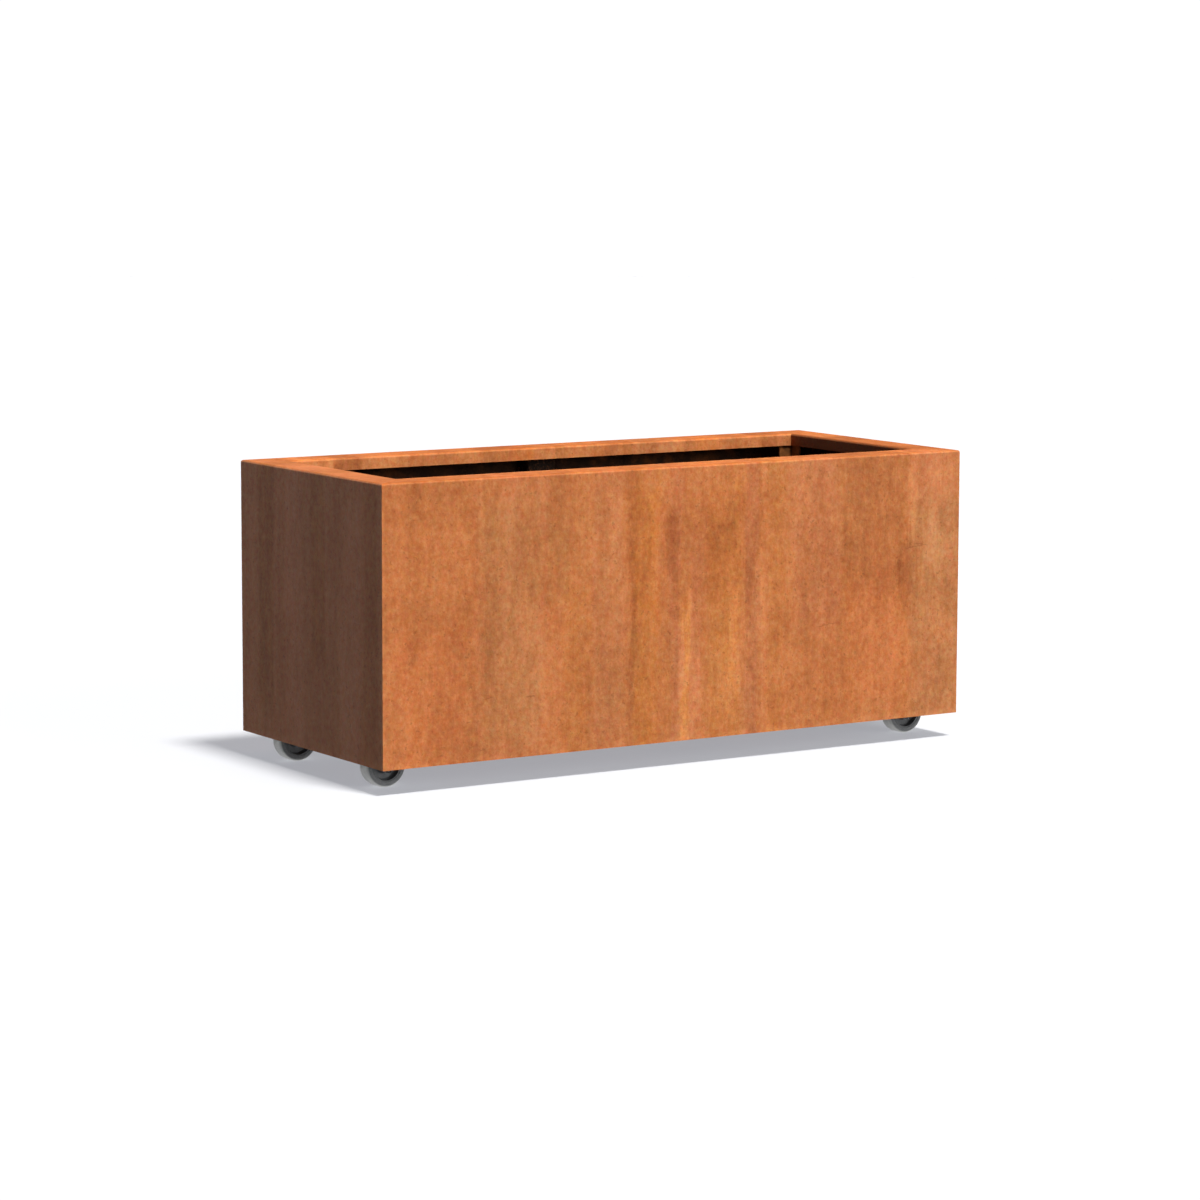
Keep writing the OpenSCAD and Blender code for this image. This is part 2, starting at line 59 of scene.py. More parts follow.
class Finish:
    """A material's node tree, with one short call for each kind of node that the finishes use."""

    def __init__(self, name, seed=0):
        self.material = bpy.data.materials.new(name)
        self.material.use_nodes = True
        self.tree = self.material.node_tree
        self.surface = self.tree.nodes["Principled BSDF"]
        self.place = self.add("ShaderNodeTexCoord").outputs["Object"]
        self.seed = seed
        axes = self.add("ShaderNodeSeparateXYZ")
        self.put(axes.inputs[0], self.place)
        self.axes = axes.outputs

    def add(self, kind, **settings):
        node = self.tree.nodes.new(kind)
        for setting, value in settings.items():
            setattr(node, setting, value)
        return node

    def put(self, socket, value):
        """Links an output to the socket, or sets a plain value on it."""
        if isinstance(value, bpy.types.NodeSocket):
            self.tree.links.new(value, socket)
        else:
            socket.default_value = value

    def calc(self, operation, a, b=0.0):
        node = self.add("ShaderNodeMath", operation=operation)
        self.put(node.inputs[0], a)
        self.put(node.inputs[1], b)
        return node.outputs[0]

    def plus(self, *values):
        total = values[0]
        for value in values[1:]:
            total = self.calc("ADD", total, value)
        return total

    def minus(self, a, b):
        return self.calc("SUBTRACT", a, b)

    def times(self, a, b):
        return self.calc("MULTIPLY", a, b)

    def spread(self, noise, amount):
        """Swings of a noise about zero, as large as amount."""
        return self.times(self.minus(noise, 0.5), amount)

    def noise(self, size, detail, roughness, stretch=(1, 1, 1)):
        """Noise with blotches about size metres across, longer where stretch is over 1. Each call
        on one material reads another part of the noise."""
        self.seed += 1
        mapping = self.add("ShaderNodeMapping")
        self.put(mapping.inputs["Vector"], self.place)
        mapping.inputs["Location"].default_value = (self.seed * 1.7, self.seed * 2.9, self.seed * 0.8)
        mapping.inputs["Scale"].default_value = [1 / s for s in stretch]
        node = self.add("ShaderNodeTexNoise")
        self.put(node.inputs["Vector"], mapping.outputs[0])
        node.inputs["Scale"].default_value = 1 / size
        node.inputs["Detail"].default_value = detail
        node.inputs["Roughness"].default_value = roughness
        return node.outputs[0]

    def step(self, value, low, high, out_low=0.0, out_high=1.0):
        """A smooth change from out_low, where value is low, to out_high, where it is high."""
        node = self.add("ShaderNodeMapRange", interpolation_type="SMOOTHSTEP")
        for socket, number in zip(node.inputs, (value, low, high, out_low, out_high)):
            self.put(socket, number)
        return node.outputs[0]

    def fall(self, value, low, high):
        """A smooth fall from 1, where value is low, to 0, where it is high."""
        return self.step(value, low, high, 1.0, 0.0)

    def ramp(self, value, stops):
        """Colours along a value: stops are (place, sRGB colour)."""
        node = self.add("ShaderNodeValToRGB")
        self.put(node.inputs[0], value)
        elements = node.color_ramp.elements
        while len(elements) < len(stops):
            elements.new(0.5)
        for element, (place, colour) in zip(elements, stops):
            element.position = place
            element.color = linear(colour)
        return node.outputs[0]

    def blend(self, factor, a, b):
        node = self.add("ShaderNodeMix", data_type="RGBA")
        for socket, value in zip((node.inputs[0], node.inputs[6], node.inputs[7]), (factor, a, b)):
            self.put(socket, value)
        return node.outputs[2]

    def finish(self, colour, roughness, bump_height, bump_depth, bump_strength=0.5, **fixed):
        """Wires the surface; fixed are plain values for the other inputs of the shader."""
        self.put(self.surface.inputs["Base Color"], colour)
        self.put(self.surface.inputs["Roughness"], roughness)
        bump = self.add("ShaderNodeBump")
        bump.inputs["Strength"].default_value = bump_strength
        bump.inputs["Distance"].default_value = bump_depth
        self.put(bump.inputs["Height"], bump_height)
        self.put(self.surface.inputs["Normal"], bump.outputs[0])
        for name, value in fixed.items():
            self.surface.inputs[name.replace("_", " ")].default_value = value
        return self.material


# rust from dark to pale, its dark pits and scratches, and mill scale with a bloom of rust on it,
# whose dark also stands as painted shade on the faces inside the trough
RUST = [
    (0.05, (144, 81, 45)),
    (0.30, (167, 98, 56)),
    (0.50, (186, 112, 65)),
    (0.70, (203, 126, 76)),
    (0.95, (222, 144, 89)),
]
PIT = (98, 58, 38)
PIT_STRENGTH = 0.32
MILL_SCALE_AND_SHADE = [
    (0.35, (40, 30, 25)),
    (0.52, (66, 44, 31)),
    (0.70, (112, 66, 36)),
]
# how far each of these moves the tone, which is 0 where the rust is dark and 1 where it is pale;
# the grains move it by GRAIN_TONE for each step of red
CLOUD_TONE = 0.95
RAIN_TONE = 0.75
MOTTLE_TONE = 0.52
GRIT_TONE = 0.22
GRAIN_TONE = -0.055
# the rim's top is painted darker: painted shade that tempers the strong light falling on it
TOP_PAINTED_SHADE = -0.17
FRESH_TONE = 0.14
# the share of a colour that one step of red or of orange adds or takes away
RED_STEP = 0.05
ORANGE_STEP = 0.145
# how many steps of red or of orange each of these adds
GRAIN_RED = 8.0
DRIFT_RED = 2.2
TOP_RED = 1.2
OCHRE_ORANGE = 5.4
RAIN_ORANGE = 1.8
# the top's stronger orange is painted to offset the pale sheen of the light on it
TOP_ORANGE = 1.9
# a streak's sides wander this far, and its ends further
STREAK_WANDER = 0.045
ENDS_OVER_SIDES = 2.5
# a streak is full up to STREAK_CORE of its half width, less SOFT_INSIDE, and gone at SOFT_OUTSIDE
# beyond it; it fades over SOFT_END on either side of its ends
STREAK_CORE = 0.75
SOFT_INSIDE = 0.002
SOFT_OUTSIDE = 0.003
SOFT_END = 0.030
# how far a scratch wanders, and how far from its middle line it is full and gone
SCRATCH_WANDER = 0.006
SCRATCH_CORE = 0.0004
SCRATCH_EDGE = 0.0014
# how far from an edge the fresh rust on it is full and gone
FRESH_ARRIS = (0.001, 0.007)
FRESH_CUT = (0.001, 0.014)


class Patina(Finish):
    """Rust on a wall, whose streaks and scratches have their places on one axis: 0 for X, 1 for Y."""

    def __init__(self, name, seed, along):
        super().__init__(name, seed)
        self.along = self.axes[along]
        self.from_x = self.minus(half_length, self.calc("ABSOLUTE", self.axes[0]))
        self.from_y = self.minus(half_width, self.calc("ABSOLUTE", self.axes[1]))
        self.inward = self.calc("MINIMUM", self.from_x, self.from_y)
        # the rim's top face is the one less than half a sheet below the highest point
        self.on_top = self.step(self.axes[2], top_z - 0.6 * SHEET, top_z - 0.4 * SHEET)

    def streaks(self, runs):
        """Streaks down the face, added up."""
        wander = self.noise(0.035, detail=4.0, roughness=0.7, stretch=(1, 1, 5))
        ragged = self.spread(wander, STREAK_WANDER)
        place = self.plus(self.along, ragged)
        height = self.plus(self.axes[2], self.times(ragged, ENDS_OVER_SIDES))
        total = 0.0
        for middle, reach, low, high, depth in runs:
            off = self.calc("ABSOLUTE", self.minus(place, middle))
            mark = self.step(off, STREAK_CORE * reach - SOFT_INSIDE, reach + SOFT_OUTSIDE, depth, 0.0)
            mark = self.times(mark, self.step(height, low - SOFT_END, low + SOFT_END))
            mark = self.times(mark, self.fall(height, high - SOFT_END, high + SOFT_END))
            total = self.plus(total, mark)
        patches = self.noise(0.020, detail=4.0, roughness=0.75, stretch=(1, 1, 2.5))
        return self.times(total, self.step(patches, 0.30, 0.62, 0.35, 1.20))

    def scratches(self, lines):
        """Thin scratches across the face, added up."""
        wander = self.noise(0.012, detail=2.0, roughness=0.5)
        height = self.plus(self.axes[2], self.spread(wander, SCRATCH_WANDER))
        total = 0.0
        for middle, middle_z, length, slope in lines:
            off = self.minus(self.along, middle)
            line = self.plus(self.times(off, slope), middle_z)
            apart = self.calc("ABSOLUTE", self.minus(height, line))
            ends = self.fall(self.calc("ABSOLUTE", off), 0.2 * length, 0.5 * length)
            mark = self.fall(apart, SCRATCH_CORE, SCRATCH_EDGE)
            total = self.plus(total, self.times(mark, ends))
        return total

    def hues(self, reds, oranges):
        """The fine grains of redder rust, the steps of red and the steps of orange. Both hues drift
        along the face, have streaks, and are stronger on the rim's top, where the orange is painted
        stronger to offset the pale sheen that the light gives the top."""
        grains = self.spread(self.noise(0.0095, detail=3.0, roughness=0.75), GRAIN_RED)
        drift = self.spread(self.noise(0.16, detail=4.0, roughness=0.7, stretch=(1, 1, 3)), DRIFT_RED)
        red = self.plus(grains, drift, self.streaks(reds), self.times(self.on_top, TOP_RED))
        ochre = self.spread(self.noise(0.0095, detail=3.0, roughness=0.75), OCHRE_ORANGE)
        rain = self.spread(self.noise(0.05, detail=4.0, roughness=0.7, stretch=(1, 1, 16)), RAIN_ORANGE)
        # the drift moves the orange half as far as the red
        orange = self.plus(ochre, rain, self.times(drift, 0.5), self.streaks(oranges),
                           self.times(self.on_top, TOP_ORANGE))
        return grains, red, orange

    def fresh(self):
        """Younger, brighter rust on the arrises and on the skirt's cut edge, in patches."""
        arris = self.fall(self.calc("MAXIMUM", self.from_x, self.from_y), *FRESH_ARRIS)
        cut_edge = self.fall(self.minus(self.axes[2], skirt_z), *FRESH_CUT)
        patches = self.step(self.noise(0.03, detail=3.0, roughness=0.6), 0.35, 0.6)
        return self.times(self.calc("MAXIMUM", arris, cut_edge), patches)

    def tint(self, colour, red, orange):
        """Turns a rust colour redder or, under 0, more olive, and a stronger orange or, under 0,
        a duller one."""
        cool = self.plus(self.times(red, -RED_STEP), 1.0)
        parts = self.add("ShaderNodeCombineColor")
        self.put(parts.inputs[0], self.plus(self.times(red, RED_STEP), 1.0))
        self.put(parts.inputs[1], cool)
        self.put(parts.inputs[2], self.plus(self.times(orange, -ORANGE_STEP), cool))
        product = self.add("ShaderNodeVectorMath", operation="MULTIPLY")
        self.put(product.inputs[0], colour)
        self.put(product.inputs[1], parts.outputs[0])
        return product.outputs[0]

    def under_skin(self):
        """How deep a point lies under the outer skin of the sheet, which runs up the wall, round
        the fold, across the rim and down the lip."""
        across = self.calc("MAXIMUM", self.minus(FOLD_OUTSIDE, self.inward),
                           self.minus(self.inward, RIM_WIDTH - FOLD_OUTSIDE))
        up = self.minus(self.axes[2], top_z - FOLD_OUTSIDE)
        fold_x = self.calc("MAXIMUM", across, 0.0)
        fold_z = self.calc("MAXIMUM", up, 0.0)
        squares = self.plus(self.times(fold_x, fold_x), self.times(fold_z, fold_z))
        from_centre = self.calc("SQRT", squares)
        flat = self.calc("MINIMUM", self.calc("MAXIMUM", across, up), 0.0)
        return self.minus(self.minus(FOLD_OUTSIDE, from_centre), flat)


def rust_patina(name, seed, along, tones, reds, oranges, scratched=(), contrast=1.0, specular=0.05,
                painted_lip_light=0.0):
    """Patina of a wall, with its lists of streaks and scratches. contrast scales the swings from
    dark to pale, and the last argument paints the lip's inner face paler, as painted light, or,
    under 0, darker, as painted shade."""
    look = Patina(name, seed, along)
    clouds = look.noise(0.10, detail=6.0, roughness=0.88, stretch=(1, 1, 1.3))
    grit = look.noise(0.0052, detail=2.0, roughness=0.6)
    mottle = look.noise(0.014, detail=3.0, roughness=0.6, stretch=(1, 1, 1.3))
    rain = look.noise(0.07, detail=5.0, roughness=0.75, stretch=(1, 1, 9))
    streaked = look.streaks(tones)
    grains, red, orange = look.hues(reds, oranges)
    on_lip = look.step(look.inward, RIM_WIDTH - 3.0 * SHEET, RIM_WIDTH - 0.5 * SHEET)
    tone = look.plus(
        0.5,
        look.spread(clouds, CLOUD_TONE * contrast),
        look.spread(rain, RAIN_TONE * contrast),
        look.spread(mottle, MOTTLE_TONE * contrast),
        look.spread(grit, GRIT_TONE),
        look.times(streaked, contrast),
        look.times(grains, GRAIN_TONE),
        # painted shade on the rim's top
        look.times(look.on_top, TOP_PAINTED_SHADE),
        look.times(look.fresh(), FRESH_TONE),
        # painted light or painted shade on the lip's inner face
        look.times(on_lip, painted_lip_light),
    )
    rust = look.tint(look.ramp(tone, RUST), red, orange)
    pits = look.fall(look.noise(0.0065, detail=2.0, roughness=0.5), 0.27, 0.36)
    marks = look.times(look.calc("MAXIMUM", pits, look.scratches(scratched)), PIT_STRENGTH)
    rust = look.blend(marks, rust, linear(PIT))
    # the faces inside the trough and the skirt lie a sheet's thickness under the skin, and take the
    # dark mill scale, partly painted shade for the inside of the trough
    sheltered = look.step(look.under_skin(), 0.4 * SHEET, 0.6 * SHEET)
    bloom = look.noise(0.06, detail=6.0, roughness=0.65)
    colour = look.blend(sheltered, rust, look.ramp(bloom, MILL_SCALE_AND_SHADE))
    dull = look.step(tone, 0.1, 0.9, 0.95, 0.80)
    relief = look.plus(grit, look.times(clouds, 0.6))
    return look.finish(colour, dull, relief, bump_depth=0.0008, bump_strength=0.6,
                       Specular_IOR_Level=specular)


def dress(nodes, material):
    """Gives CAD nodes a material."""
    for node in nodes:
        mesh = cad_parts[node].data
        mesh.materials.clear()
        mesh.materials.append(material)


def nodes_named(*endings):
    """The CAD nodes whose names end in one of these ways."""
    return [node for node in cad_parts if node.endswith(endings)]


# Streaks, each with its middle along the wall, half width, lowest z, highest z and depth. A depth
# over 0 is paler in a list of tones, redder in one of reds and stronger in one of oranges.
FRONT_TONE = [
    (-0.535, 0.030, 0.20, 0.32, -0.08),
    (-0.340, 0.140, 0.02, 0.28, -0.05),
    (-0.392, 0.011, 0.14, 0.38, -0.12),
    (-0.310, 0.045, 0.31, 0.46, -0.10),
    (-0.175, 0.050, 0.26, 0.60, 0.05),
    (-0.095, 0.028, 0.00, 0.60, -0.12),
    (-0.106, 0.009, 0.12, 0.48, -0.12),
    (-0.028, 0.014, 0.32, 0.43, -0.16),
    (0.015, 0.026, 0.00, 0.29, 0.14),
    (0.006, 0.009, 0.00, 0.29, 0.14),
    (0.105, 0.065, 0.31, 0.46, -0.14),
    (0.150, 0.150, 0.44, 0.60, 0.09),
    (0.106, 0.014, 0.06, 0.29, 0.16),
    (0.145, 0.013, 0.00, 0.36, -0.12),
    (0.172, 0.008, 0.00, 0.60, 0.08),
    (0.345, 0.050, 0.06, 0.42, -0.08),
    (0.415, 0.075, 0.28, 0.60, -0.12),
    (0.480, 0.015, 0.24, 0.38, -0.13),
    (0.497, 0.009, 0.36, 0.60, 0.12),
    (0.555, 0.045, 0.30, 0.60, 0.08),
    (0.550, 0.048, 0.00, 0.40, 0.11),
    (0.050, 0.300, 0.46, 0.60, 0.04),
]
FRONT_RED = [
    (-0.510, 0.080, 0.00, 0.28, 0.6),
    (-0.350, 0.068, 0.06, 0.49, -1.2),
    (-0.255, 0.025, 0.30, 0.46, -0.8),
    (-0.155, 0.034, 0.10, 0.50, -0.5),
    (-0.060, 0.060, 0.26, 0.48, 0.4),
    (0.075, 0.025, 0.14, 0.28, -0.6),
    (0.410, 0.070, 0.08, 0.32, 0.5),
    (0.545, 0.062, 0.00, 0.44, -1.3),
]
FRONT_ORANGE = [
    (-0.350, 0.078, 0.00, 0.60, -0.6),
    (-0.220, 0.026, 0.00, 0.32, 0.5),
    (-0.155, 0.034, 0.00, 0.60, -0.5),
    (-0.078, 0.032, 0.00, 0.50, 1.1),
    (-0.015, 0.014, 0.00, 0.60, -0.9),
    (0.004, 0.007, 0.00, 0.30, 1.2),
    (0.026, 0.012, 0.00, 0.40, -0.8),
    (0.085, 0.034, 0.00, 0.49, 0.8),
    (0.143, 0.017, 0.00, 0.60, -1.0),
    (0.195, 0.020, 0.00, 0.60, 0.5),
    (0.280, 0.060, 0.22, 0.60, -0.8),
    (0.545, 0.060, 0.00, 0.60, -0.9),
]
# scratches, each with its middle along the wall, middle z, length and slope
FRONT_SCRATCHES = [
    (0.498, 0.354, 0.050, 0.08),
    (0.514, 0.358, 0.044, -0.10),
    (0.306, 0.226, 0.052, 0.10),
    (-0.394, 0.150, 0.024, 0.12),
    (-0.312, 0.147, 0.026, 0.05),
]
BACK_TONE = [
    (-0.500, 0.050, 0.00, 0.60, 0.10),
    (-0.420, 0.030, 0.12, 0.60, -0.20),
    (-0.210, 0.020, 0.00, 0.44, 0.18),
    (-0.100, 0.055, 0.18, 0.60, -0.16),
    (0.020, 0.014, 0.00, 0.60, -0.18),
    (0.180, 0.060, 0.22, 0.60, -0.16),
    (0.300, 0.020, 0.00, 0.38, 0.18),
    (0.480, 0.028, 0.00, 0.60, -0.20),
]
# the back wall's hues serve as its reds and as its oranges
BACK_HUE = [
    (-0.450, 0.070, 0.00, 0.46, -0.9),
    (-0.060, 0.030, 0.00, 0.60, 0.9),
    (0.230, 0.050, 0.10, 0.60, -0.7),
    (0.340, 0.030, 0.00, 0.60, 0.8),
]
LEFT_TONE = [
    (0.160, 0.030, 0.10, 0.60, -0.24),
    (0.060, 0.035, 0.00, 0.54, 0.14),
    (-0.030, 0.028, 0.20, 0.60, -0.22),
    (-0.140, 0.040, 0.00, 0.48, 0.14),
    (-0.210, 0.026, 0.00, 0.60, -0.18),
]
RIGHT_TONE = [
    (-0.150, 0.030, 0.10, 0.60, -0.20),
    (-0.040, 0.024, 0.00, 0.44, 0.18),
    (0.050, 0.045, 0.18, 0.60, -0.18),
    (0.180, 0.026, 0.00, 0.54, 0.14),
]
# on the left end the paler streaks are the duller ones
LEFT_ORANGE = [(*streak, -5 * depth) for *streak, depth in LEFT_TONE]
dress(["front_wall"], rust_patina("front_patina", 10, 0, FRONT_TONE, FRONT_RED, FRONT_ORANGE,
                                  FRONT_SCRATCHES))
# the back lip's inner face is painted paler: painted light
dress(["back_wall"], rust_patina("back_patina", 20, 0, BACK_TONE, BACK_HUE, BACK_HUE, painted_lip_light=0.12))
dress(["left_end_wall"], rust_patina("left_end_patina", 30, 1, LEFT_TONE, (), LEFT_ORANGE,
                                     contrast=0.5, specular=0.12))
# the right end's lip is painted darker: painted shade on its inner face, which faces away from the
# light
dress(["right_end_wall"], rust_patina("right_end_patina", 40, 1, RIGHT_TONE, (), (),
                                      contrast=0.8, painted_lip_light=-0.45))


# ==== Floor and the channels under it ====
# The floor is an upside-down tray of the same steel with drain holes, and three folded channels are
# welded under it. Rain seldom washes them, so they keep dark mill scale under a bloom of rust.
RUST_SPECKLE = (112, 68, 40)


def sheltered_steel(name, seed, rusted):
    """Mill scale under a bloom of rust that spreads as rusted grows; under 0 the scale is almost
    bare, and over 1 rust covers nearly all of it."""
    look = Finish(name, seed)
    bloom = look.noise(0.07, detail=6.0, roughness=0.68)
    edge = 0.62 - 0.16 * rusted
    colour = look.ramp(bloom, [
        (edge - 0.24, (42, 32, 26)),
        (edge - 0.08, (72, 48, 32)),
        (edge + 0.06, (118, 72, 38)),
        (edge + 0.26, (166, 100, 50)),
    ])
    speckle = look.step(look.noise(0.004, detail=3.0, roughness=0.6), 0.48, 0.66, 0.0, 0.4)
    colour = look.blend(speckle, colour, linear(RUST_SPECKLE))
    dull = look.step(bloom, 0.35, 0.65, 0.60, 0.90)
    relief = look.noise(0.005, detail=4.0, roughness=0.65)
    return look.finish(colour, dull, relief, bump_depth=0.0006, Specular_IOR_Level=0.05)


dress(["floor_pan"], sheltered_steel("floor_scale", 50, 0.55))
dress(["left_castor_rail", "right_castor_rail", "middle_rail"], sheltered_steel("rail_scale", 60, 0.3))


# ==== Uprights and corner brackets ====
# A channel stands halfway along each long wall with its toes welded to it, and an angle behind each
# corner of the lip ties the mitre. Both are cut from the same weathering steel as the walls.
# the uprights are kept to nearly bare dark mill scale: painted shade, as they stand in the shade under
# the rim
dress(["front_upright", "back_upright"], sheltered_steel("upright_scale_and_shade", 70, -0.9))
dress(nodes_named("lip_bracket"), sheltered_steel("bracket_rust", 80, 1.5))


# ==== Weld beads ====
# Beads of weathering filler wire: full length in the corners and along the brackets, and in short
# stitches round the floor, at the uprights' toes and along the channels under the floor.
BEAD_RADIUS = 0.0021
STITCH = 0.030
RIPPLE = 0.0030
POINTS_PER_RIPPLE = 3.0
# how far a bead's middle line lies from the faces that it joins: on upright edges, round the floor
# and along the channels
BEAD_IN = 0.0008
FLOOR_FILLET = 1.6 * BEAD_IN
CHANNEL_FILLET = 1.8 * BEAD_IN
# from the rim's top to the lower end of the beads on a bracket, just short of the lip's edge
BRACKET_BEAD = 0.020
# from one stitch to the next
TOE_SPACING = 0.105
END_SPACING = 0.125
SIDE_SPACING = 0.150
CHANNEL_SPACING = 0.120


def stitches(start, end, spacing):
    """Paths of stitch welds on the line from start to end, about spacing apart."""
    start, end = Vector(start), Vector(end)
    run = end - start
    count = max(1, round(run.length / spacing))
    half = run.normalized() * STITCH / 2
    middles = [start + run * (i + 0.5) / count for i in range(count)]
    return [(middle - half, middle + half) for middle in middles]


def corner_paths(x, y, floor_z):
    """Beads at one corner of the trough, where x and y are -1 or 1."""
    wall_x, wall_y = half_length - SHEET, half_width - SHEET
    corner = (x * (wall_x - BEAD_IN), y * (wall_y - BEAD_IN))
    bead_low, bead_high = floor_z - BEAD_RADIUS, top_z - SHEET - BEAD_RADIUS
    paths = [(Vector((*corner, bead_low)), Vector((*corner, bead_high)))]
    # the two free edges of the bracket's legs, behind the lips
    bracket_low, bracket_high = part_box("back_right_lip_bracket")
    lip_x = x * (half_length - RIM_WIDTH + SHEET + BEAD_IN)
    lip_y = y * (half_width - RIM_WIDTH + SHEET + BEAD_IN)
    lip_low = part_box("back_wall")[1].z - BRACKET_BEAD
    for edge in ((x * (bracket_low.x - BEAD_IN), lip_y), (lip_x, y * (bracket_low.y - BEAD_IN))):
        paths.append((Vector((*edge, lip_low)), Vector((*edge, bracket_high.z))))
    # an upright's toe on a long wall
    upright_low, upright_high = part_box("front_upright")
    toe = (x * (upright_high.x + BEAD_IN), y * (wall_y - BEAD_IN))
    return paths + stitches((*toe, upright_low.z), (*toe, upright_high.z), TOE_SPACING)


def weld_paths():
    """Both ends of each bead."""
    wall_x, wall_y = half_length - SHEET, half_width - SHEET
    floor_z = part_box("floor_pan")[1].z
    edge_z = floor_z - FLOOR_FILLET
    paths = []
    for x in (-1, 1):
        for y in (-1, 1):
            paths += corner_paths(x, y, floor_z)
        # floor against the end walls
        edge_x = x * (wall_x - FLOOR_FILLET)
        paths += stitches((edge_x, -wall_y, edge_z), (edge_x, wall_y, edge_z), END_SPACING)
    for y in (-1, 1):
        # floor against the long walls
        edge = (y * (wall_y - FLOOR_FILLET), edge_z)
        paths += stitches((-wall_x, *edge), (wall_x, *edge), SIDE_SPACING)
    # channels against the underside of the floor
    reach_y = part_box("middle_rail")[1].y
    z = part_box("middle_rail")[1].z - CHANNEL_FILLET
    for rail in ("left_castor_rail", "middle_rail", "right_castor_rail"):
        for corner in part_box(rail):
            side = 1 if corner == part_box(rail)[1] else -1
            x = corner.x - side * CHANNEL_FILLET
            paths += stitches((x, -reach_y, z), (x, reach_y, z), CHANNEL_SPACING)
    return paths


class Growth:
    """A Geometry Nodes tree that turns a piece's guide geometry into its finished mesh."""

    def __init__(self, name):
        self.tree = bpy.data.node_groups.new(name, "GeometryNodeTree")
        self.values = {}
        self.input("Guide", "NodeSocketGeometry", None)
        self.tree.interface.new_socket("Mesh", in_out="OUTPUT", socket_type="NodeSocketGeometry")
        self.start = self.tree.nodes.new("NodeGroupInput")
        self.end = self.tree.nodes.new("NodeGroupOutput")

    def input(self, name, kind, value):
        socket = self.tree.interface.new_socket(name, in_out="INPUT", socket_type=kind)
        self.values[socket.identifier] = value

    def add(self, kind, inputs, **settings):
        """Adds a node; inputs maps its socket names to outputs, values or names of tree inputs."""
        node = self.tree.nodes.new(kind)
        for setting, value in settings.items():
            setattr(node, setting, value)
        for name, value in inputs.items():
            socket = node.inputs[name]
            if isinstance(value, str):
                value = self.start.outputs[value]
            if isinstance(value, bpy.types.NodeSocket):
                self.tree.links.new(value, socket)
            else:
                socket.default_value = value
        return node.outputs[0]

    def grow(self, guide, geometry, name, body):
        """Ends the tree, makes the piece from the guide object and hangs it on its body."""
        real = self.add("GeometryNodeRealizeInstances", {"Geometry": geometry})
        coated = self.add("GeometryNodeSetMaterial", {"Geometry": real, "Material": "Finish"})
        self.tree.links.new(coated, self.end.inputs[0])
        bpy.context.scene.collection.objects.link(guide)
        modifier = guide.modifiers.new(name, "NODES")
        modifier.node_group = self.tree
        for identifier, value in self.values.items():
            if value is not None:
                modifier[identifier] = value
        evaluated = guide.evaluated_get(bpy.context.evaluated_depsgraph_get())
        mesh = bpy.data.meshes.new_from_object(evaluated)
        guide.modifiers.remove(modifier)
        bpy.data.objects.remove(guide)
        piece = bpy.data.objects.new(name, mesh)
        bpy.context.scene.collection.objects.link(piece)
        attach(piece, body)


def weld_metal():
    look = Finish("weld_metal", 90)
    heat = look.noise(0.008, detail=4.0, roughness=0.6)
    colour = look.ramp(heat, [(0.35, (52, 40, 36)), (0.50, (98, 62, 42)), (0.66, (158, 92, 48))])
    dull = look.step(heat, 0.35, 0.65, 0.5, 0.85)
    return look.finish(colour, dull, look.noise(0.0012, detail=3.0, roughness=0.6), bump_depth=0.0002)


beads = Growth("weld_bead")
beads.input("Bead Radius", "NodeSocketFloat", BEAD_RADIUS)
beads.input("Ripple Pitch", "NodeSocketFloat", RIPPLE)
beads.input("Finish", "NodeSocketMaterial", weld_metal())
pitch = beads.add("ShaderNodeMath", {0: "Ripple Pitch", 1: POINTS_PER_RIPPLE}, operation="DIVIDE")
path = beads.add("GeometryNodeResampleCurve", {"Curve": "Guide", "Length": pitch}, mode="LENGTH")
travelled = beads.tree.nodes.new("GeometryNodeSplineParameter").outputs["Length"]
phase = beads.add("ShaderNodeMath", {0: travelled, 1: "Ripple Pitch"}, operation="DIVIDE")
phase = beads.add("ShaderNodeMath", {0: phase}, operation="FRACT")
ripple = beads.add("ShaderNodeMapRange", {"Value": phase, "To Min": 1.0, "To Max": 0.80})
wander = beads.add("ShaderNodeTexNoise", {"Scale": 160.0, "Detail": 2.0})
wander = beads.add("ShaderNodeMapRange", {"Value": wander, "To Min": 0.78, "To Max": 1.02})
swell = beads.add("ShaderNodeMath", {0: ripple, 1: wander}, operation="MULTIPLY")
ring = beads.add("GeometryNodeCurvePrimitiveCircle", {"Resolution": 10, "Radius": "Bead Radius"})
bead = beads.add("GeometryNodeCurveToMesh", {"Curve": path, "Profile Curve": ring, "Scale": swell,
                                             "Fill Caps": True})
bead = beads.add("GeometryNodeSetShadeSmooth", {"Geometry": bead})
lines = bpy.data.curves.new("weld_lines", "CURVE")
lines.dimensions = "3D"
for ends in weld_paths():
    line = lines.splines.new("POLY")
    line.points.add(1)
    for point, place in zip(line.points, ends):
        point.co = (*place, 1.0)
beads.grow(bpy.data.objects.new("weld_lines", lines), bead, "weld_beads", "planter")


# ==== Castor pressings ====
# Plates, forks and race cups are pressed from steel sheet and zinc plated with a cool bluish
# passivation, which dulls in patches and wears bright along the pressed edges.
WORN_EDGE = (214, 218, 222)
# low parts darken, partly road dirt and partly painted shade dimming the floor's reflection
LOW_DIRT_AND_SHADE = (56, 53, 50)
DARKENED_BELOW = 0.040
UNDARKENED_ABOVE = 0.085


